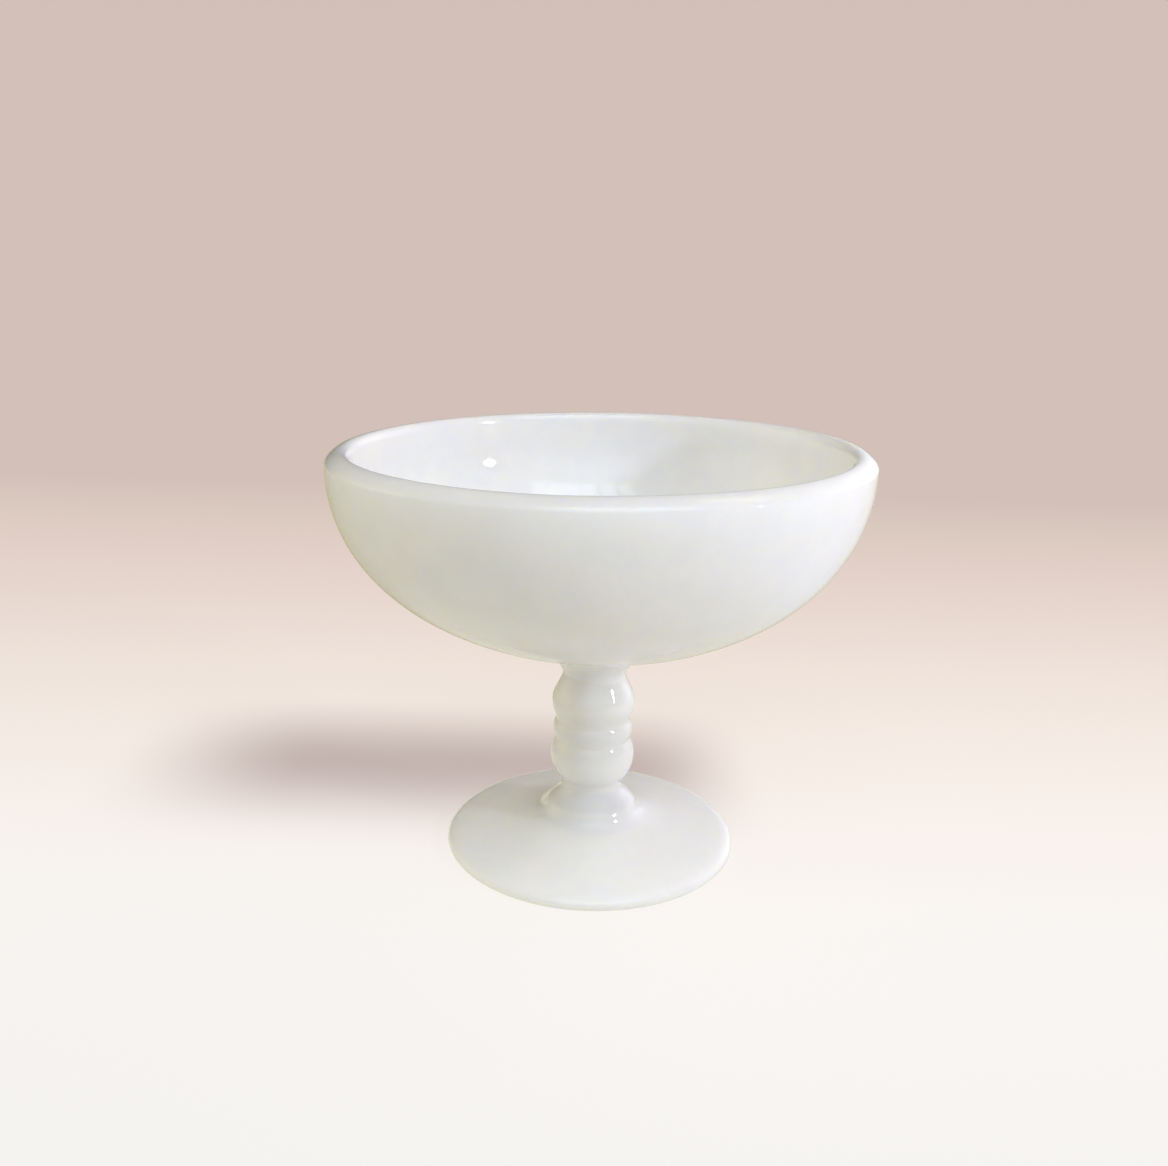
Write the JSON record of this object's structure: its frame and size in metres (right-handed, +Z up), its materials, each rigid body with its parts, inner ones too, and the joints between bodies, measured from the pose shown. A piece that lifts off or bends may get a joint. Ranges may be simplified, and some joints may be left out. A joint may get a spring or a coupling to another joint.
{
  "type": "footed bowl",
  "caption": "Deep round bowl of opaque white milk glass with a thick rounded lip, on a short knopped stem and a low conical round foot.",
  "frame": {"origin": "centre of the foot's resting plane, on the axis that every piece is turned about", "axes": "+Z up along the turning axis, out of the bowl's mouth; +X and +Y are any two level directions, because the object is round"},
  "size_m": [0.18, 0.18, 0.1438],
  "materials": {
    "bowl_glass": "polished",
    "stem_glass": "polished",
    "foot_glass": "polished"
  },
  "bodies": {
    "root": {"bowl": "bowl_glass", "upper_knop": "stem_glass", "centre_ring": "stem_glass", "lower_knop": "stem_glass", "foot_collar": "stem_glass", "foot": "foot_glass"}
  },
  "joints": []
}
